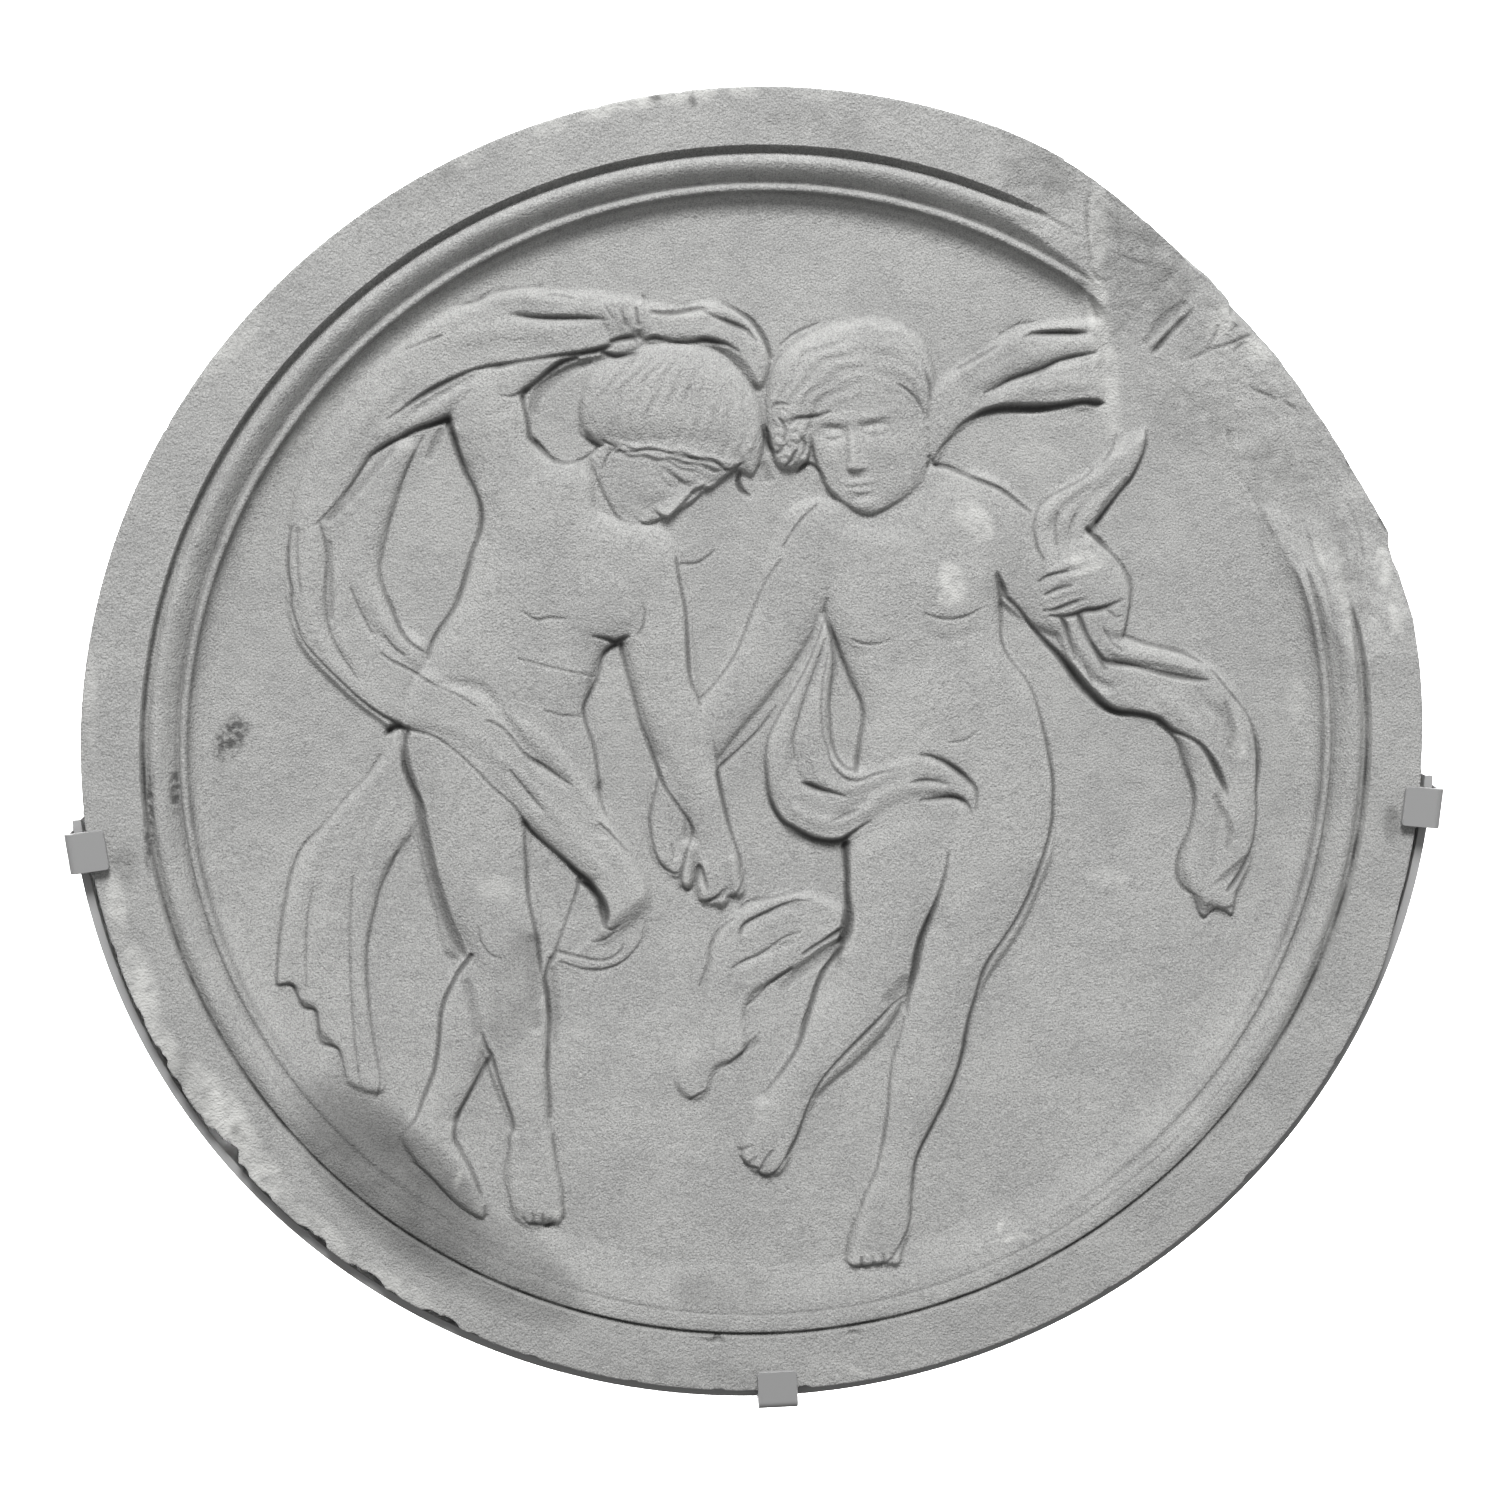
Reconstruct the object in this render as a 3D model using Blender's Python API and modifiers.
"""Relief roundel: a carved stone disc in a bent steel cradle with three clips.

The stone is modelled lying on its back: x runs right, y runs up the relief and z comes out of it.
One empty turns everything upright, so the relief faces -Y and its flat back lies on the plane y = 0,
with the origin in the middle of the back.
"""
import math

import bmesh
import bpy
import numpy as np

# Driving sizes of the stone, in metres
STONE_WIDTH = 1.000
STONE_OVAL = 0.973
STONE_OVAL_TURN = math.radians(6.7)
STONE_THICKNESS = 0.090
STONE_EDGE_ROUND = 0.0015
RIM_WIDTH = 0.043
QUIRK_WIDTH = 0.0026
QUIRK_DEPTH = 0.0065
BEAD_WIDTH = 0.016
BEAD_DROP = 0.0015
BEAD_RISE = 0.0055
FILLET_WIDTH = 0.016
FILLET_DEPTH = 0.0125
COVE_WIDTH = 0.020
GROUND_DEPTH = 0.024

# Driving sizes of the steel cradle and its clips, in metres
BAND_THICKNESS = 0.0065
BAND_GAP = 0.0006
BAND_SHIFT = 0.0016
BAND_SETBACK = 0.012
BAND_OVERLAP = math.radians(2.6)
CLIP_WIDTH = 0.030
CLIP_THICKNESS = 0.0045
CLIP_BEND = 0.006
TAB_REACH = 0.0295
TAB_STANDOFF = 0.0030
TAB_CORNER = 0.0025
STEEL_EDGE = 0.0006
TOUCH_GAP = 0.0003
CLIP_ANGLES = {
    "clip_left": math.radians(188.1),
    "clip_right": math.radians(-5.4),
    "clip_bottom": math.radians(-88.2),
}

# The damage: angles around the stone, anticlockwise from the right, and losses in metres
BREAK_FROM = math.radians(12)
BREAK_TO = math.radians(68)
BREAK_LOSS = 0.018
BREAK_DEPTH_INNER = 0.0211
BREAK_DEPTH_OUTER = 0.0079
BREAK_RUN_OUT = 2.2
WORN_FROM = math.radians(-17)
WORN_TO = math.radians(10)
WORN_LOSS = 0.0040
WORN_FRONT = 0.0126
WORN_SLOPE = 3.1
WORN_WAVE = 0.0004
EDGE_CHIPS = (
    (198, 0.006), (204, 0.004), (213, 0.005), (219, 0.006), (226, 0.013), (231, 0.005), (238, 0.010),
    (245, 0.011), (253, 0.006), (268, 0.007), (273, 0.008), (302, 0.005), (318, 0.005), (331, 0.006),
    (104, 0.006), (112, 0.004), (168, 0.004),
)

# The carver's drawing: a sheet in its own units with the disc in the middle.
# It shows the stone from a little above and to the left, so LEAN straightens it.
DRAWING_CENTRE = (754.4, 738.7)
DRAWING_RADIUS = 675.4
DRAWING_RIM_LEVEL = 24.0
LEAN = np.array([
    [1.0038, -0.0004, -0.0094],
    [-0.0066, 1.0102, 0.0216],
    [-0.0105, 0.0251, 1.0],
])

# How finely the forms are cut
TURNED_STEPS = 80
CARVING_STEP = 5.0
PANEL_CELLS = 150
PANEL_TRIANGLES = 5400
PANEL_SINK = 0.006
PANEL_BITE = 0.45
PANEL_CALM = 0.985
COVE_START = math.radians(8.6)
COVE_STEPS = 3
BEAD_STEPS = 4
WALL_DRAFT = 0.0003
SPLINE_STEPS = 5
BAND_STEPS = 36
BREAK_CELLS = 7
BREAK_ROWS = 16
BREAK_ROUGH = 0.0016
BREAK_CLEAR = 0.0012
BREAK_BACK = 0.85
WORN_ROWS = 14
WORN_INSET = math.radians(0.6)
CHIP_LONG = 1.7
CHIP_DEEP = 1.2
CHIP_OUT = 0.45
CUTTER_RISE = 0.012

STONE_COLOUR = (0.42, 0.41, 0.39, 1.0)
STEEL_COLOUR = (0.20, 0.20, 0.20, 1.0)

RADIUS = STONE_WIDTH / 2
RIM_INNER = RADIUS - RIM_WIDTH
BEAD_OUTER = RIM_INNER - QUIRK_WIDTH
FILLET_OUTER = BEAD_OUTER - BEAD_WIDTH
COVE_OUTER = FILLET_OUTER - FILLET_WIDTH
GROUND_RADIUS = COVE_OUTER - COVE_WIDTH
GROUND_LEVEL = STONE_THICKNESS - GROUND_DEPTH
BAND_INNER = RADIUS + BAND_GAP + BAND_SHIFT * math.sqrt(2)
BAND_OUTER = BAND_INNER + BAND_THICKNESS
BAND_FRONT = STONE_THICKNESS - BAND_SETBACK
BAND_CENTRE = (-BAND_SHIFT, BAND_SHIFT)
BAND_FROM = CLIP_ANGLES["clip_left"] - BAND_OVERLAP
BAND_TO = CLIP_ANGLES["clip_right"] + 2 * math.pi + BAND_OVERLAP
# The band is a row of flats that touch its inner circle, so its corners stand a little further out
BAND_STRETCH = 1 / math.cos((BAND_TO - BAND_FROM) / BAND_STEPS / 2)


def clear_scene():
    for item in list(bpy.data.objects):
        bpy.data.objects.remove(item)


def make_collection(name):
    group = bpy.data.collections.new(name)
    bpy.context.scene.collection.children.link(group)
    return group


def make_material(name, colour, roughness, metallic):
    material = bpy.data.materials.new(name)
    material.use_nodes = True
    shader = material.node_tree.nodes["Principled BSDF"]
    shader.inputs["Base Color"].default_value = colour
    shader.inputs["Roughness"].default_value = roughness
    shader.inputs["Metallic"].default_value = metallic
    return material


def make_object(name, mesh, group, material=None):
    item = bpy.data.objects.new(name, mesh)
    group.objects.link(item)
    if material is not None:
        mesh.materials.append(material)
    return item


def mesh_from(name, points, faces):
    mesh = bpy.data.meshes.new(name)
    mesh.from_pydata([tuple(p) for p in points], [], faces)
    mesh.update()
    return mesh


def oval_matrix():
    """The squeeze that turns a circle into the stone's slightly oval outline."""
    c, s = math.cos(STONE_OVAL_TURN), math.sin(STONE_OVAL_TURN)
    turn = np.array([[c, -s], [s, c]])
    return turn @ np.diag([1.0, STONE_OVAL]) @ turn.T


OVAL = oval_matrix()


def to_oval(points):
    """Squeeze points given as rows of x, y, z."""
    points = np.array(points, float)
    points[:, :2] = points[:, :2] @ OVAL.T
    return points


def squeeze_mesh(mesh):
    for vertex in mesh.vertices:
        x, y = OVAL @ np.array(vertex.co[:2])
        vertex.co = (x, y, vertex.co[2])


def to_drawing(x, y):
    """Where a point of the stone lies on the carver's drawing."""
    back = np.linalg.inv(LEAN)
    flat = np.stack([x / RADIUS, y / RADIUS, np.ones_like(x)])
    u, v, w = np.tensordot(back, flat, axes=1)
    across = DRAWING_CENTRE[0] + DRAWING_RADIUS * u / w
    down = DRAWING_CENTRE[1] - DRAWING_RADIUS * v / w
    return across, down


def smooth_line(points, closed=False):
    """A smooth line through rows of numbers, with SPLINE_STEPS steps from one row to the next."""
    rows = np.asarray(points, float)
    count = len(rows)
    if count < 3 and not closed:
        return rows
    if closed:
        rows = np.vstack([rows[-1:], rows, rows[:2]])
    else:
        rows = np.vstack([2 * rows[:1] - rows[1:2], rows, 2 * rows[-1:] - rows[-2:-1]])
    spans = count if closed else count - 1
    t = np.linspace(0, 1, SPLINE_STEPS, endpoint=False)[:, None]
    pieces = []
    for i in range(spans):
        a, b, c, d = rows[i], rows[i + 1], rows[i + 2], rows[i + 3]
        slope = (c - a) * t
        bend = (2 * a - 5 * b + 4 * c - d) * t ** 2
        twist = (3 * b - a - 3 * c + d) * t ** 3
        pieces.append((2 * b + slope + bend + twist) / 2)
    if not closed:
        pieces.append(rows[count:count + 1])
    return np.concatenate(pieces)


def nearest_on_line(u, v, line):
    """Distance to a line, its further columns there, which side, and how far along."""
    best = np.full(u.shape, 1e9)
    columns = [np.zeros(u.shape) for _ in range(line.shape[1] - 2)]
    side = np.zeros(u.shape)
    along = np.zeros(u.shape)
    for i in range(len(line) - 1):
        start, end = line[i], line[i + 1]
        du, dv = end[0] - start[0], end[1] - start[1]
        length = max(du * du + dv * dv, 1e-9)
        t = np.clip(((u - start[0]) * du + (v - start[1]) * dv) / length, 0, 1)
        distance = np.hypot(u - start[0] - t * du, v - start[1] - t * dv)
        closer = distance < best
        best = np.where(closer, distance, best)
        along = np.where(closer, (i + t) / (len(line) - 1), along)
        side = np.where(closer, du * (v - start[1]) - dv * (u - start[0]), side)
        for k, column in enumerate(columns):
            value = start[2 + k] + t * (end[2 + k] - start[2 + k])
            columns[k] = np.where(closer, value, column)
    return best, columns, np.sign(side), along


def inside_outline(u, v, outline):
    inside = np.zeros(u.shape, bool)
    for start, end in zip(outline, np.roll(outline, -1, axis=0)):
        if start[1] == end[1]:
            continue
        crosses = (v < start[1]) != (v < end[1])
        edge = start[0] + (v - start[1]) * (end[0] - start[0]) / (end[1] - start[1])
        inside ^= crosses & (u < edge)
    return inside


class Carving:
    """Heights above the ground over the drawing, where DRAWING_RIM_LEVEL is level with the rim."""

    def __init__(self):
        reach = DRAWING_RADIUS + 2 * CARVING_STEP
        self.u = np.arange(DRAWING_CENTRE[0] - reach, DRAWING_CENTRE[0] + reach, CARVING_STEP)
        self.v = np.arange(DRAWING_CENTRE[1] - reach, DRAWING_CENTRE[1] + reach, CARVING_STEP)
        self.height = np.zeros((len(self.v), len(self.u)))

    def window(self, points, margin):
        low = points.min(axis=0) - margin
        high = points.max(axis=0) + margin
        cols = slice(*np.searchsorted(self.u, (low[0], high[0])))
        rows = slice(*np.searchsorted(self.v, (low[1], high[1])))
        u, v = np.meshgrid(self.u[cols], self.v[rows])
        return (rows, cols), u, v

    def lay(self, window, form, blend):
        """Join a form to what is there: blended where blend > 0, else the higher one wins."""
        old = self.height[window]
        higher = np.maximum(old, form)
        if blend > 0:
            close = np.maximum(0, 1 - np.abs(old - form) / blend)
            higher = higher + np.where(old > 0, blend * close ** 2 / 4, 0)
        self.height[window] = np.where(form > 0, higher, old)

    def limb(self, stations, blend=3.0, roundness=2.3):
        """A limb from rows of across, down, half width and height."""
        line = smooth_line(stations)
        window, u, v = self.window(line[:, :2], line[:, 2].max())
        distance, (half, high), _, _ = nearest_on_line(u, v, line)
        share = np.clip(distance / half, 0, 1)
        self.lay(window, high * (1 - share ** roundness) ** 0.5, blend)

    def mass(self, outline, high, edge, blend=3.0):
        """A form inside an outline that rises to its height over the width of its edge."""
        closed = smooth_line(outline, closed=True)
        window, u, v = self.window(closed, CARVING_STEP)
        distance, _, _, _ = nearest_on_line(u, v, np.vstack([closed, closed[:1]]))
        share = 1 - np.clip(distance / edge, 0, 1)
        form = high * (1 - share ** 2) ** 0.5
        self.lay(window, np.where(inside_outline(u, v, closed), form, 0), blend)

    def swell(self, centre, radii, high, turn=0.0, power=1.5):
        """A soft swelling on a form, or a hollow where high is below zero."""
        point = np.array([centre], float)
        window, u, v = self.window(point, max(radii))
        c, s = math.cos(math.radians(turn)), math.sin(math.radians(turn))
        across = ((u - centre[0]) * c + (v - centre[1]) * s) / radii[0]
        down = ((v - centre[1]) * c - (u - centre[0]) * s) / radii[1]
        share = np.clip(across ** 2 + down ** 2, 0, 1)
        old = self.height[window]
        self.height[window] = np.where(old > 0, np.maximum(old + high * (1 - share) ** power, 0), old)

    def fold(self, points, half, high):
        """A fold of cloth, or a furrow where high is below zero, that fades out at both ends."""
        line = smooth_line(points)
        window, u, v = self.window(line, half + CARVING_STEP)
        distance, _, _, along = nearest_on_line(u, v, line)
        share = np.clip(distance / max(half, CARVING_STEP * 1.2), 0, 1)
        ends = np.clip(4 * np.minimum(along, 1 - along), 0, 1)
        old = self.height[window]
        added = high * ends * (2 - ends) * (1 - share ** 2) ** 1.5
        self.height[window] = np.where(old > 0, np.maximum(old + added, 0), old)

    def folds(self, lines):
        for points, half, high in lines:
            self.fold(points, half, high)

    def at(self, x, y):
        """Height above the ground in metres at points of the stone."""
        u, v = to_drawing(x, y)
        col = np.clip((u - self.u[0]) / CARVING_STEP, 0, len(self.u) - 1.001)
        row = np.clip((v - self.v[0]) / CARVING_STEP, 0, len(self.v) - 1.001)
        i, j = row.astype(int), col.astype(int)
        s, t = row - i, col - j
        near = self.height[i, j] * (1 - t) + self.height[i, j + 1] * t
        far = self.height[i + 1, j] * (1 - t) + self.height[i + 1, j + 1] * t
        return (near * (1 - s) + far * s) * GROUND_DEPTH / DRAWING_RIM_LEVEL


def carve_right_dancer(carving):
    carve_right_cloth(carving)
    # Bent arm that holds the cloth
    carving.limb([(975, 525, 52, 17), (1020, 560, 47, 17), (1060, 590, 44, 17), (1090, 600, 42, 16)])
    carving.mass([(1090, 535), (1124, 568), (1133, 600), (1126, 640), (1060, 620), (1050, 560)], 16, 20)
    carve_falling_cloth(carving)
    # Trunk and hips
    carving.mass([
        (800, 508), (830, 500), (880, 505), (930, 470), (1000, 490), (1032, 514), (1040, 560), (1001, 600),
        (1003, 630), (1012, 656), (1042, 712), (1058, 785), (1057, 825), (1036, 900), (960, 950), (900, 900),
        (850, 850), (846, 815), (862, 740), (865, 718), (842, 655), (828, 618), (818, 580), (800, 560),
    ], 17, 28)
    carving.swell((860, 610), (48, 46), 5)
    carving.swell((952, 590), (50, 48), 6)
    carving.swell((945, 690), (70, 60), 3)
    carving.swell((990, 800), (80, 110), 2.5)
    carving.fold([(905, 540), (905, 620), (915, 700), (918, 750)], 14, -1.6)
    # Standing leg and foot
    carving.limb([
        (1000, 850, 56, 17), (985, 910, 44, 17), (955, 960, 40, 17), (930, 1050, 35, 17), (915, 1100, 28, 16),
        (900, 1150, 20, 15), (890, 1185, 22, 15), (882, 1225, 27, 14),
    ])
    carving.mass([(870, 1180), (908, 1180), (911, 1215), (893, 1258), (849, 1265), (858, 1215)], 14, 12)
    # Crossing leg and foot
    carving.mass([
        (846, 850), (872, 826), (920, 810), (955, 822), (940, 910), (912, 985), (880, 1018), (850, 1000),
        (838, 955), (850, 935),
    ], 21, 24)
    carving.limb([
        (885, 930, 44, 22), (880, 965, 38, 22), (862, 1005, 36, 20), (835, 1040, 32, 18), (805, 1075, 24, 16),
        (785, 1105, 22, 15), (772, 1135, 24, 14),
    ])
    carving.mass([(760, 1100), (740, 1150), (750, 1168), (782, 1172), (795, 1145), (812, 1095)], 14, 11)
    # Arm that reaches down to the clasped hands
    carving.limb([
        (815, 535, 34, 15), (800, 580, 36, 15), (780, 630, 32, 14), (750, 680, 27, 13), (720, 720, 24, 12),
        (695, 760, 20, 11),
    ])
    carve_hip_cloth(carving)
    carve_low_cloth(carving)
    # Head, hair and neck
    carving.mass([
        (812, 430), (822, 470), (838, 492), (860, 502), (885, 507), (903, 498), (921, 440), (914, 410),
        (880, 395), (830, 405),
    ], 22, 24, blend=0)
    carving.mass([
        (768, 398), (776, 366), (798, 342), (830, 326), (865, 318), (900, 322), (926, 342), (937, 375),
        (928, 425), (915, 424), (905, 404), (870, 400), (835, 410), (822, 425), (800, 470), (768, 430),
    ], 24, 30, blend=0)
    carving.mass([(846, 490), (900, 500), (925, 470), (960, 500), (900, 530), (850, 520)], 15, 14)
    # Fingers closed on the cloth
    for knuckle, tip in (((1085, 562), (1044, 578)), ((1090, 585), (1040, 596)), ((1092, 600), (1050, 613))):
        carving.limb([(*knuckle, 9, 18), (*tip, 8, 17)], blend=0)


def carve_right_cloth(carving):
    carving.mass([
        (932, 392), (958, 368), (985, 351), (1010, 336), (1040, 325), (1070, 321), (1108, 322), (1112, 360),
        (1108, 404), (1060, 408), (1010, 412), (975, 420), (950, 442), (936, 464), (925, 430),
    ], 12, 12)
    carving.folds([
        ([(1030, 336), (1060, 333), (1095, 334)], 6, -6),
        ([(985, 396), (1010, 382), (1050, 366), (1102, 354)], 7, -7),
        ([(960, 400), (1010, 365), (1070, 345), (1105, 342)], 9, 2.5),
        ([(960, 425), (1010, 398), (1060, 385), (1105, 382)], 10, 3),
    ])
    carving.mass([
        (1036, 514), (1062, 490), (1092, 472), (1112, 452), (1126, 430), (1150, 428), (1144, 462), (1128, 490),
        (1090, 534), (1084, 560), (1040, 560),
    ], 12, 12)
    carving.folds([
        ([(1055, 560), (1058, 520), (1100, 480)], 6, -5),
        ([(1075, 550), (1080, 515), (1120, 475)], 6, -3),
    ])


def carve_falling_cloth(carving):
    carving.mass([
        (1052, 600), (1062, 640), (1080, 680), (1100, 705), (1160, 724), (1182, 742), (1195, 800), (1186, 868),
        (1212, 908), (1230, 916), (1254, 865), (1262, 780), (1258, 735), (1246, 702), (1222, 672), (1190, 655),
        (1150, 645), (1120, 638), (1095, 610),
    ], 14, 14)
    carving.folds([
        ([(1105, 655), (1125, 664), (1160, 670), (1212, 681)], 6, -8),
        ([(1066, 620), (1072, 645), (1095, 680), (1118, 692)], 6, -7),
        ([(1200, 700), (1222, 720), (1230, 770), (1222, 830), (1218, 890)], 7, -5),
        ([(1150, 690), (1185, 715), (1208, 750), (1210, 810), (1202, 870)], 9, 3),
    ])


def carve_hip_cloth(carving):
    carving.mass([
        (826, 616), (812, 645), (798, 670), (784, 700), (768, 738), (765, 765), (772, 805), (784, 826),
        (805, 838), (830, 846), (856, 842), (870, 828), (900, 808), (935, 800), (968, 808), (977, 822),
        (980, 800), (972, 780), (950, 760), (925, 754), (895, 758), (868, 768), (850, 766), (834, 745),
        (832, 700), (836, 660),
    ], 20, 10, blend=0)
    carving.folds([
        ([(828, 640), (812, 690), (797, 740), (800, 780), (835, 796)], 6, -5),
        ([(833, 690), (829, 730), (836, 756), (857, 772)], 5, -5),
        ([(920, 756), (950, 766), (974, 792)], 6, -4),
        ([(815, 660), (790, 720), (782, 780), (800, 815), (845, 822), (900, 790), (960, 790)], 8, 3),
    ])


def carve_low_cloth(carving):
    carving.mass([
        (850, 915), (820, 898), (790, 896), (755, 906), (730, 922), (714, 945), (709, 975), (704, 1000),
        (697, 1035), (676, 1085), (690, 1100), (706, 1095), (716, 1070), (748, 1048), (744, 1020), (752, 998),
        (770, 985), (800, 968), (830, 947), (850, 938),
    ], 8, 9, blend=0)
    carving.folds([
        ([(738, 936), (755, 924), (780, 912), (806, 905)], 5, -4),
        ([(735, 972), (760, 958), (800, 942)], 5, -3),
        ([(725, 960), (720, 1000), (705, 1060)], 7, 2),
    ])


def carve_left_dancer(carving):
    carve_cloak(carving)
    # Raised arm
    carving.mass([
        (452, 424), (455, 400), (480, 374), (520, 362), (562, 358), (546, 376), (524, 396), (530, 440),
        (500, 470), (470, 462),
    ], 15, 22)
    carving.limb([
        (492, 440, 36, 16), (492, 405, 33, 17), (508, 378, 24, 16), (560, 352, 16, 14), (612, 340, 14, 15),
    ])
    # Trunk
    carving.mass([
        (450, 424), (458, 446), (472, 480), (482, 520), (474, 552), (464, 590), (444, 632), (424, 668),
        (404, 716), (402, 760), (412, 800), (440, 850), (500, 850), (560, 812), (599, 790), (597, 760),
        (585, 712), (592, 682), (602, 655), (640, 640), (664, 640), (684, 600), (680, 560), (660, 530),
        (600, 515), (592, 480), (575, 462), (552, 462), (532, 440), (526, 402), (490, 400),
    ], 17, 26)
    carving.swell((600, 605), (48, 46), 6, turn=-15)
    carving.swell((510, 590), (40, 42), 4)
    carving.swell((535, 680), (60, 50), 3)
    carving.swell((500, 760), (90, 60), 3)
    carving.fold([(556, 560), (552, 620), (545, 680), (538, 730)], 14, -1.6)
    # Arm that reaches down, and the clasped hands
    carving.limb([
        (652, 570, 30, 17), (658, 630, 34, 18), (668, 690, 31, 17), (682, 740, 29, 17), (700, 790, 24, 17),
        (712, 830, 20, 17), (718, 862, 24, 17), (716, 888, 20, 14),
    ])
    carving.limb([(675, 775, 22, 10), (668, 815, 20, 11), (668, 850, 17, 11), (678, 868, 12, 10)])
    # Front leg and foot
    carving.limb([
        (470, 770, 66, 19), (476, 830, 54, 20), (484, 890, 46, 21), (504, 940, 38, 21), (512, 985, 36, 20),
        (513, 1030, 35, 19), (520, 1075, 28, 17), (530, 1125, 19, 16), (532, 1160, 23, 16), (535, 1200, 27, 14),
    ])
    carving.mass([(512, 1130), (548, 1128), (563, 1200), (561, 1222), (520, 1217), (507, 1180)], 15, 12)
    # Back leg and foot
    carving.mass([
        (404, 760), (412, 820), (432, 905), (446, 955), (470, 962), (500, 960), (500, 860), (450, 800),
    ], 6, 8, blend=0)
    carving.limb([
        (480, 965, 20, 9), (464, 1000, 24, 12), (460, 1040, 24, 13), (452, 1080, 22, 12), (436, 1115, 19, 12),
        (428, 1135, 24, 12),
    ], blend=0)
    carving.mass([
        (402, 1136), (420, 1112), (456, 1124), (456, 1142), (480, 1186), (485, 1218), (450, 1197), (412, 1158),
    ], 11, 10)
    carve_thigh_cloth(carving)
    carve_hand_cloth(carving)
    # Head bowed under the hair
    carving.mass([
        (600, 450), (601, 480), (610, 508), (622, 518), (650, 530), (680, 520), (725, 492), (742, 478),
        (740, 440), (640, 430),
    ], 21, 26, blend=0)
    carving.mass([
        (597, 444), (584, 430), (581, 405), (588, 378), (606, 360), (640, 347), (680, 344), (712, 350),
        (738, 368), (756, 392), (765, 420), (764, 450), (748, 475), (700, 459), (660, 452), (625, 450),
    ], 25, 40, blend=0)
    carve_hanging_cloth(carving)


def carve_cloak(carving):
    carving.mass([
        (648, 318), (625, 298), (560, 292), (525, 287), (470, 304), (440, 316), (405, 342), (370, 372),
        (335, 415), (305, 462), (290, 510), (286, 560), (287, 610), (300, 650), (335, 688), (372, 718),
        (400, 728), (428, 655), (405, 630), (385, 600), (378, 565), (386, 525), (400, 485), (415, 450),
        (400, 440), (372, 455), (345, 498), (372, 462), (402, 437), (440, 420), (470, 400), (500, 372),
        (560, 356), (600, 349), (632, 340),
    ], 13, 16)
    carving.folds([
        ([(352, 498), (338, 540), (333, 590), (340, 640)], 16, -5),
        ([(510, 314), (545, 319), (605, 319)], 6, -6),
        ([(400, 422), (440, 396), (480, 374), (530, 360)], 7, -6),
        ([(440, 345), (500, 330), (580, 335)], 14, 3),
        ([(326, 520), (324, 570), (330, 640), (360, 690)], 9, -4.5),
        ([(310, 500), (306, 560), (312, 620), (345, 680)], 10, 2.5),
        ([(420, 370), (370, 410), (330, 470)], 12, 3),
        ([(350, 590), (370, 630), (430, 685)], 7, -3.5),
    ])


def carve_thigh_cloth(carving):
    carving.mass([
        (400, 728), (440, 742), (470, 770), (510, 812), (548, 848), (580, 878), (592, 892), (600, 925),
        (580, 955), (556, 962), (580, 972), (620, 964), (645, 935), (650, 895), (635, 860), (612, 822),
        (595, 790), (570, 745), (520, 706), (470, 684), (430, 668), (408, 690),
    ], 21, 18, blend=0)
    carving.folds([
        ([(430, 684), (480, 690), (505, 722), (540, 765), (575, 790)], 8, -5),
        ([(500, 765), (520, 785), (545, 815)], 6, -3),
        ([(455, 720), (500, 760), (560, 820), (600, 870), (610, 910)], 9, 2.5),
        ([(520, 720), (570, 775), (610, 830), (630, 880)], 9, 2.5),
    ])


def carve_hand_cloth(carving):
    carving.mass([
        (640, 305), (680, 308), (712, 302), (740, 312), (762, 335), (772, 356), (765, 385), (752, 385),
        (735, 365), (715, 348), (690, 342), (645, 340),
    ], 13, 12)
    carving.folds([
        ([(650, 310), (690, 311), (712, 308)], 5, -5),
        ([(712, 315), (740, 325), (755, 340)], 6, -5),
    ])
    for finger in range(3):
        carving.limb([(607 + 13 * finger, 305, 8, 17), (614 + 11 * finger, 328, 7, 17)], blend=0)


def carve_hanging_cloth(carving):
    carving.mass([
        (395, 732), (384, 757), (362, 784), (344, 802), (318, 834), (300, 862), (286, 895), (279, 935),
        (275, 986), (292, 988), (300, 1004), (314, 1012), (320, 1035), (336, 1052), (348, 1085), (384, 1092),
        (376, 1040), (369, 1000), (367, 955), (372, 920), (382, 880), (400, 850), (412, 830), (408, 780),
    ], 8, 10, blend=0)
    carving.folds([
        ([(382, 800), (352, 900), (345, 960), (346, 1060)], 8, -3),
        ([(350, 830), (315, 910), (305, 985)], 9, -2.5),
        ([(395, 790), (365, 880), (358, 960), (364, 1060)], 9, 2.5),
        ([(360, 800), (330, 880), (322, 960), (330, 1030)], 10, 2.5),
    ])


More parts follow.
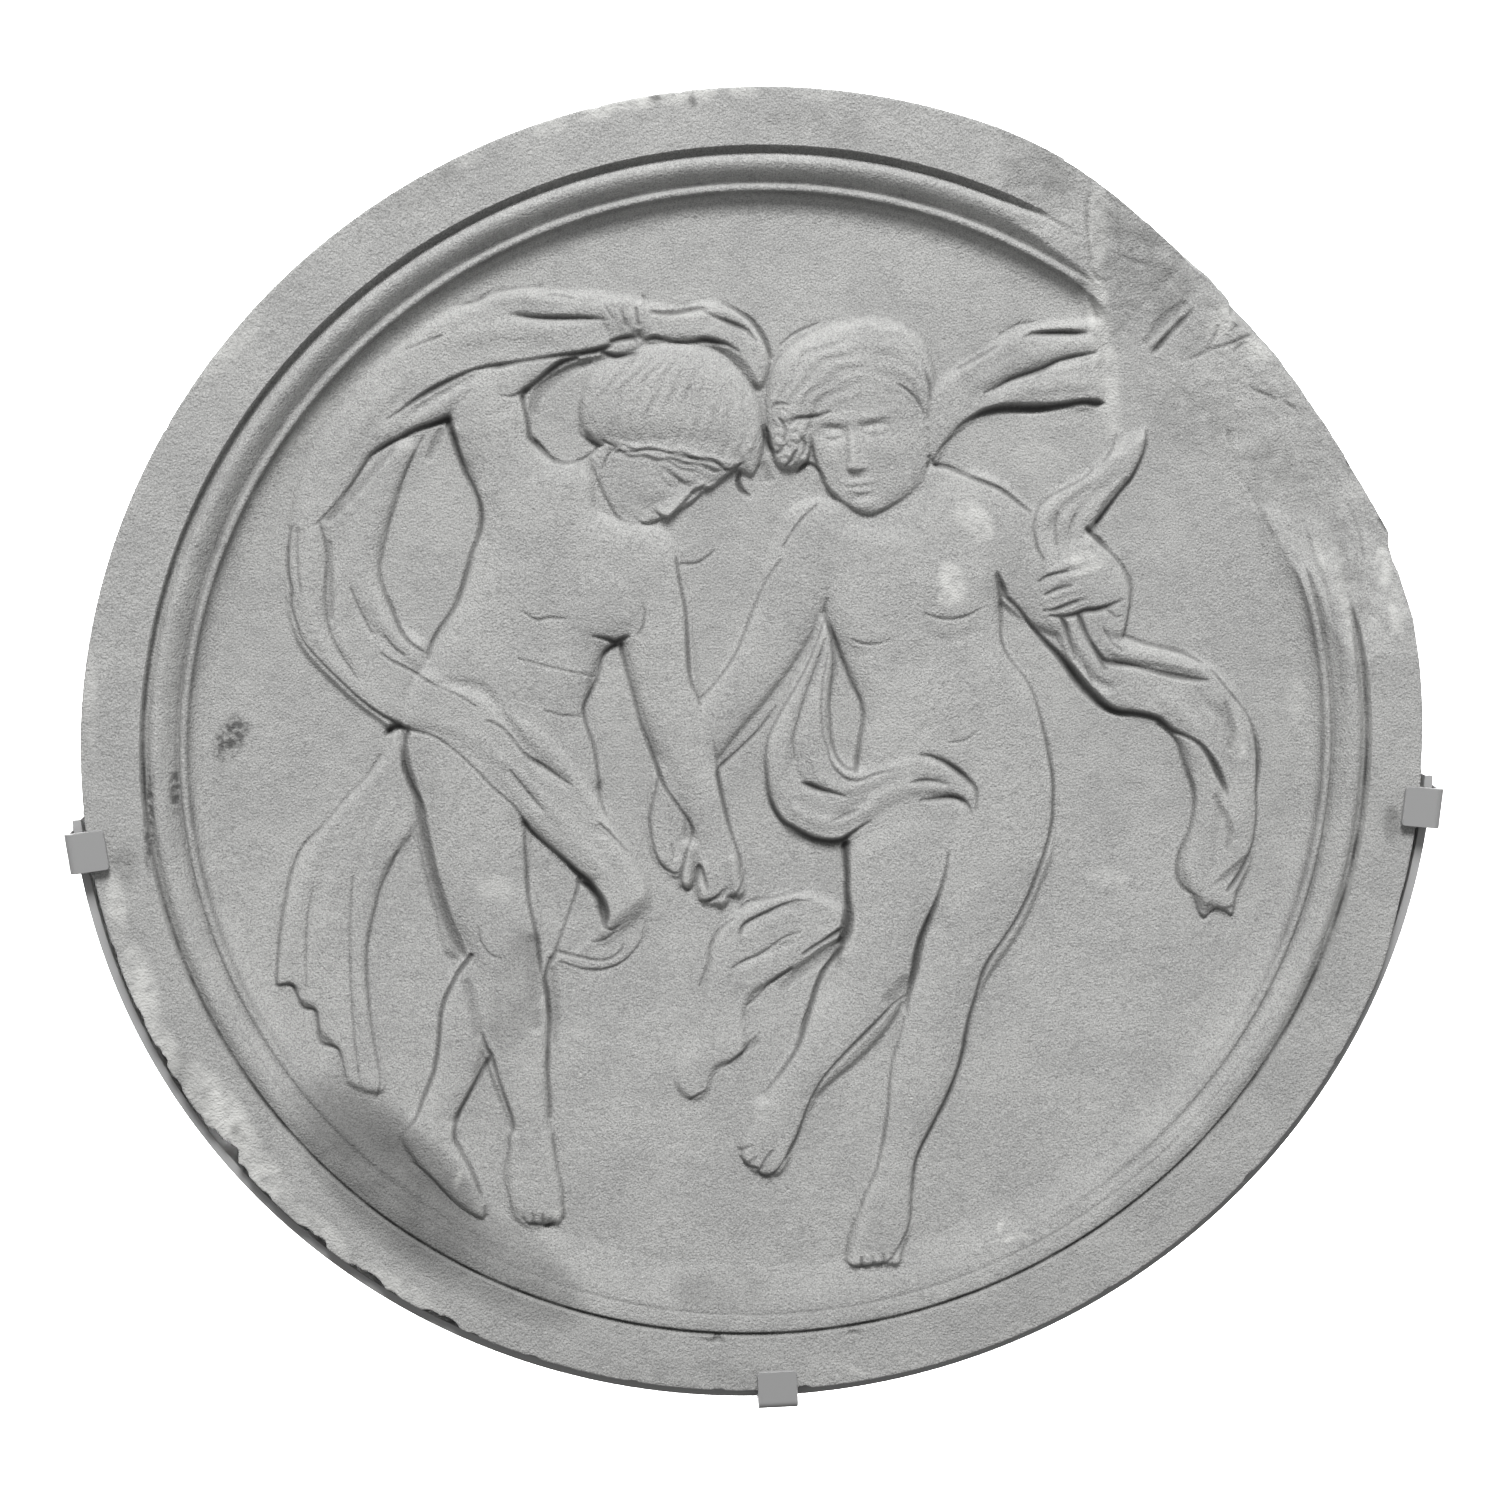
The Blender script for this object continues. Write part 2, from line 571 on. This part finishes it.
def turned_profile():
    """The stone's half section, from the middle of the floor outwards and down to the back."""
    floor = GROUND_LEVEL - PANEL_SINK / 2
    cove_rise = GROUND_DEPTH - FILLET_DEPTH
    groove = STONE_THICKNESS - BEAD_DROP - QUIRK_DEPTH
    profile = [(0.0, floor), (GROUND_RADIUS + COVE_WIDTH * math.sin(COVE_START), floor)]
    for step in range(COVE_STEPS + 1):
        angle = COVE_START + (math.pi / 2 - COVE_START) * step / COVE_STEPS
        radius = GROUND_RADIUS + COVE_WIDTH * math.sin(angle)
        profile.append((radius, GROUND_LEVEL + cove_rise * (1 - math.cos(angle))))
    profile.append((FILLET_OUTER - WALL_DRAFT, STONE_THICKNESS - FILLET_DEPTH))
    for step in range(BEAD_STEPS + 1):
        share = step / BEAD_STEPS
        level = STONE_THICKNESS - BEAD_DROP - BEAD_RISE * (2 * share - 1) ** 2
        profile.append((FILLET_OUTER + BEAD_WIDTH * share, level))
    profile.append((BEAD_OUTER + WALL_DRAFT, groove))
    profile.append((RIM_INNER - WALL_DRAFT, groove))
    profile.append((RIM_INNER, STONE_THICKNESS))
    profile.append((RADIUS - STONE_EDGE_ROUND, STONE_THICKNESS))
    profile.append((RADIUS, STONE_THICKNESS - STONE_EDGE_ROUND))
    profile.append((RADIUS, STONE_EDGE_ROUND))
    profile.append((RADIUS - STONE_EDGE_ROUND, 0.0))
    profile.append((0.0, 0.0))
    return profile


def turn_blank():
    """The plain moulded disc: a profile turned round the z axis, then squeezed to the oval."""
    profile = turned_profile()
    points = [(radius, 0.0, level) for radius, level in profile]
    mesh = bpy.data.meshes.new("blank_profile")
    mesh.from_pydata(points, [(i, i + 1) for i in range(len(points) - 1)], [])
    blank = make_object("blank_profile", mesh, CUTTERS)
    screw = blank.modifiers.new("turn", "SCREW")
    screw.steps = TURNED_STEPS
    screw.render_steps = TURNED_STEPS
    screw.use_merge_vertices = True
    screw.merge_threshold = 0.00005
    turned = evaluated_mesh(blank)
    bpy.data.objects.remove(blank)
    squeeze_mesh(turned)
    return turned


def evaluated_mesh(item):
    graph = bpy.context.evaluated_depsgraph_get()
    return bpy.data.meshes.new_from_object(item.evaluated_get(graph))


def disc_cells(count):
    """A square grid bent into a disc of radius one, so that its border is the circle."""
    line = np.linspace(-1, 1, count + 1)
    x, y = np.meshgrid(line, line)
    return x * np.sqrt(1 - y * y / 2), y * np.sqrt(1 - x * x / 2)


def grid_solid(name, top, bottom):
    """A closed solid between two grids of points, each given as rows x columns x 3."""
    rows, cols = top.shape[:2]
    points = np.concatenate([top.reshape(-1, 3), bottom.reshape(-1, 3)])
    below = rows * cols
    faces = []
    for i in range(rows - 1):
        for j in range(cols - 1):
            a = i * cols + j
            faces.append((a, a + 1, a + cols + 1, a + cols))
            faces.append((below + a, below + a + cols, below + a + cols + 1, below + a + 1))
    border = [(0, j) for j in range(cols - 1)] + [(i, cols - 1) for i in range(rows - 1)]
    border += [(rows - 1, j) for j in range(cols - 1, 0, -1)] + [(i, 0) for i in range(rows - 1, 0, -1)]
    ring = [i * cols + j for i, j in border]
    for a, b in zip(ring, ring[1:] + ring[:1]):
        faces.append((b, a, below + a, below + b))
    return mesh_from(name, points, faces)


def carve_panel():
    """The ground with the two dancers on it, as a disc that sinks into the blank's floor."""
    carving = Carving()
    carve_right_dancer(carving)
    carve_left_dancer(carving)
    x, y = disc_cells(PANEL_CELLS)
    reach = GROUND_RADIUS + COVE_WIDTH * PANEL_BITE
    flat = to_oval(np.stack([x.ravel() * reach, y.ravel() * reach, 0 * x.ravel()], axis=1))
    height = carving.at(flat[:, 0], flat[:, 1])
    height[np.hypot(x.ravel(), y.ravel()) > PANEL_CALM] = 0.0
    top = flat.copy()
    top[:, 2] = GROUND_LEVEL + height
    bottom = flat.copy()
    bottom[:, 2] = GROUND_LEVEL - PANEL_SINK
    shape = (*x.shape, 3)
    mesh = grid_solid("carved_panel", top.reshape(shape), bottom.reshape(shape))
    panel = make_object("carved_panel", mesh, CUTTERS)
    thin = panel.modifiers.new("fewer_faces", "DECIMATE")
    thin.ratio = PANEL_TRIANGLES / (4 * PANEL_CELLS * (PANEL_CELLS + 2))
    panel.data = evaluated_mesh(panel)
    panel.modifiers.clear()
    return panel


def polar_solid(name, angles, radii, level):
    """A cutter over a sector: its underside follows level(angle, radius), its top is flat."""
    under = [[(r * math.cos(a), r * math.sin(a), level(a, r)) for r in radii(a)] for a in angles]
    under = np.array(under)
    top = under.copy()
    top[:, :, 2] = STONE_THICKNESS + CUTTER_RISE
    shape = under.shape
    under = to_oval(under.reshape(-1, 3)).reshape(shape)
    top = to_oval(top.reshape(-1, 3)).reshape(shape)
    mesh = grid_solid(name, top, under)
    face_outwards(mesh)
    return make_object(name, mesh, CUTTERS)


def face_outwards(mesh):
    work = bmesh.new()
    work.from_mesh(mesh)
    bmesh.ops.recalc_face_normals(work, faces=work.faces)
    work.to_mesh(mesh)
    work.free()


def broken_lumps(angle, radius):
    """The lumps of a broken face, between -1 and 1."""
    wave = math.sin(23 * angle + 61 * radius) + math.sin(41 * angle - 93 * radius + 1.7)
    return (wave + math.sin(11 * angle + 140 * radius + 0.6)) / 3


def break_share(angle):
    """How much is lost along the break: nothing at its ends, everything in the middle."""
    share = (angle - BREAK_FROM) / (BREAK_TO - BREAK_FROM)
    return math.sin(math.pi * min(max(share, 0), 1)) ** 0.6


def cut_break():
    """The upper right, where the mouldings are broken away and the edge is lost to the back."""

    def radii(angle):
        share = break_share(angle)
        edge = RADIUS - BREAK_LOSS * share + BREAK_CLEAR * (1 - share)
        inner = GROUND_RADIUS + COVE_WIDTH / 2
        slope = [inner + (edge - inner) * i / BREAK_CELLS for i in range(BREAK_CELLS + 1)]
        return slope + [edge + BREAK_BACK * BREAK_LOSS * share + BREAK_CLEAR, RADIUS + BREAK_LOSS]

    def level(angle, radius):
        share = break_share(angle)
        edge = RADIUS - BREAK_LOSS * share + BREAK_CLEAR * (1 - share)
        if radius > edge + BREAK_CLEAR / 2:
            return -BREAK_CLEAR
        way = (radius - GROUND_RADIUS) / (edge - GROUND_RADIUS)
        lumps = BREAK_ROUGH * broken_lumps(angle, radius)
        depth = BREAK_DEPTH_INNER + (BREAK_DEPTH_OUTER - BREAK_DEPTH_INNER) * way
        whole = STONE_THICKNESS + CUTTER_RISE / 2
        return whole + (STONE_THICKNESS - depth + lumps - whole) * min(1, BREAK_RUN_OUT * share)

    angles = np.linspace(BREAK_FROM, BREAK_TO, BREAK_ROWS)
    return polar_solid("break_cutter", angles, radii, level)


def cut_worn_edge():
    """The right edge, worn back a little."""
    middle = (WORN_FROM + WORN_TO) / 2

    def radii(angle):
        reach = math.cos((angle - middle) / (WORN_TO - WORN_FROM) * math.pi) ** 0.5
        edge = RADIUS - WORN_LOSS * reach + WORN_WAVE * math.sin(60 * angle)
        return [edge, edge + WORN_LOSS, RADIUS + 3 * WORN_LOSS]

    def level(angle, radius):
        return STONE_THICKNESS - WORN_FRONT - WORN_SLOPE * max(0, radius - RADIUS + WORN_LOSS)

    angles = np.linspace(WORN_FROM + WORN_INSET, WORN_TO - WORN_INSET, WORN_ROWS)
    return polar_solid("worn_edge_cutter", angles, radii, level)


def cut_chips():
    """Small chips knocked off the front edge, as one mesh of separate lumps."""
    work = bmesh.new()
    for degrees, size in EDGE_CHIPS:
        angle = math.radians(degrees)
        before = set(work.verts)
        bmesh.ops.create_icosphere(work, subdivisions=1, radius=size)
        made = [vertex for vertex in work.verts if vertex not in before]
        for vertex in made:
            along = vertex.co.y * CHIP_LONG
            out = vertex.co.x + RADIUS + CHIP_OUT * size
            level = vertex.co.z * CHIP_DEEP + STONE_THICKNESS
            x = out * math.cos(angle) - along * math.sin(angle)
            y = out * math.sin(angle) + along * math.cos(angle)
            x, y = OVAL @ np.array([x, y])
            vertex.co = (x, y, level)
    mesh = bpy.data.meshes.new("chip_cutters")
    work.to_mesh(mesh)
    work.free()
    face_outwards(mesh)
    return make_object("chip_cutters", mesh, CUTTERS)


def add_boolean(item, tool, operation):
    cut = item.modifiers.new(tool.name, "BOOLEAN")
    cut.operation = operation
    cut.solver = "EXACT"
    cut.object = tool


def make_stone():
    stone = make_object("stone_roundel", turn_blank(), PARTS, STONE)
    add_boolean(stone, carve_panel(), "UNION")
    for cutter in (cut_break(), cut_worn_edge(), cut_chips()):
        add_boolean(stone, cutter, "DIFFERENCE")
    return stone


def make_band():
    """The cradle: a flat steel bar on edge, bent round the lower half of the stone."""
    work = bmesh.new()
    corners = [(BAND_INNER, 0.0), (BAND_OUTER, 0.0), (BAND_OUTER, BAND_FRONT), (BAND_INNER, BAND_FRONT)]
    rings = []
    for angle in np.linspace(BAND_FROM, BAND_TO, BAND_STEPS + 1):
        ring = []
        for radius, level in corners:
            x, y = OVAL @ np.array([math.cos(angle), math.sin(angle)]) * radius * BAND_STRETCH
            ring.append(work.verts.new((x + BAND_CENTRE[0], y + BAND_CENTRE[1], level)))
        rings.append(ring)
    for near, far in zip(rings, rings[1:]):
        for k in range(4):
            work.faces.new((near[k], near[(k + 1) % 4], far[(k + 1) % 4], far[k]))
    work.faces.new(rings[0])
    work.faces.new(rings[-1])
    bmesh.ops.recalc_face_normals(work, faces=work.faces)
    mesh = bpy.data.meshes.new("cradle_band")
    work.to_mesh(mesh)
    work.free()
    band = make_object("cradle_band", mesh, PARTS, STEEL)
    round_edges(band, STEEL_EDGE)
    return band


def round_edges(item, width):
    bevel = item.modifiers.new("rounded_edges", "BEVEL")
    bevel.width = width
    bevel.segments = 1
    bevel.limit_method = "ANGLE"
    bevel.angle_limit = math.radians(40)


def clip_section():
    """The clip's side view as points of distance out from the band and height."""
    tab_low = STONE_THICKNESS + TAB_STANDOFF
    tab_high = tab_low + CLIP_THICKNESS
    outer = CLIP_THICKNESS
    section = [(0.0, 0.0), (outer, 0.0)]
    for step in range(5):
        angle = math.pi / 2 * step / 4
        section.append((
            outer - CLIP_BEND * (1 - math.cos(angle)),
            tab_high - CLIP_BEND * (1 - math.sin(angle)),
        ))
    section += [(outer - TAB_REACH, tab_high), (outer - TAB_REACH, tab_low), (0.0, tab_low)]
    return section


def make_clip(name, angle):
    """A bent steel strap: a leg up the outside of the band and a tab over the stone's rim."""
    work = bmesh.new()
    sides = []
    for across in (-CLIP_WIDTH / 2, CLIP_WIDTH / 2):
        sides.append([work.verts.new((out, across, level)) for out, level in clip_section()])
    work.faces.new(sides[0])
    work.faces.new(sides[1])
    count = len(sides[0])
    for k in range(count):
        after = (k + 1) % count
        work.faces.new((sides[0][k], sides[0][after], sides[1][after], sides[1][k]))
    bmesh.ops.recalc_face_normals(work, faces=work.faces)
    tip = CLIP_THICKNESS - TAB_REACH
    corners = [
        edge for edge in work.edges
        if all(abs(v.co.x - tip) < TOUCH_GAP for v in edge.verts)
        and abs(edge.verts[0].co.y - edge.verts[1].co.y) < TOUCH_GAP
    ]
    bmesh.ops.bevel(work, geom=corners, offset=TAB_CORNER, segments=3, profile=0.5, affect="EDGES")
    mesh = bpy.data.meshes.new(name)
    work.to_mesh(mesh)
    work.free()
    clip = make_object(name, mesh, PARTS, STEEL)
    direction = np.array([math.cos(angle), math.sin(angle)])
    foot = OVAL @ (direction * BAND_OUTER * BAND_STRETCH) + np.array(BAND_CENTRE)
    normal = np.linalg.inv(OVAL).T @ direction
    normal = normal / np.linalg.norm(normal)
    clip.location = (foot[0] + normal[0] * TOUCH_GAP, foot[1] + normal[1] * TOUCH_GAP, 0.0)
    clip.rotation_euler = (0.0, 0.0, math.atan2(normal[1], normal[0]))
    round_edges(clip, STEEL_EDGE)
    return clip


def stand_upright(items):
    """Turn everything so that the relief faces -Y and its top points up."""
    origin = bpy.data.objects.new("roundel_origin", None)
    PARTS.objects.link(origin)
    origin.rotation_euler = (math.pi / 2, 0.0, 0.0)
    for item in items:
        item.parent = origin


clear_scene()
PARTS = make_collection("relief_roundel")
CUTTERS = make_collection("cutters")
STONE = make_material("pale_sandstone", STONE_COLOUR, 0.9, 0.0)
STEEL = make_material("grey_painted_steel", STEEL_COLOUR, 0.45, 0.0)

roundel = [make_stone(), make_band()]
for clip_name, clip_angle in CLIP_ANGLES.items():
    roundel.append(make_clip(clip_name, clip_angle))
stand_upright(roundel + list(CUTTERS.objects))
for cutter_item in CUTTERS.objects:
    cutter_item.hide_render = True
    cutter_item.display_type = "WIRE"
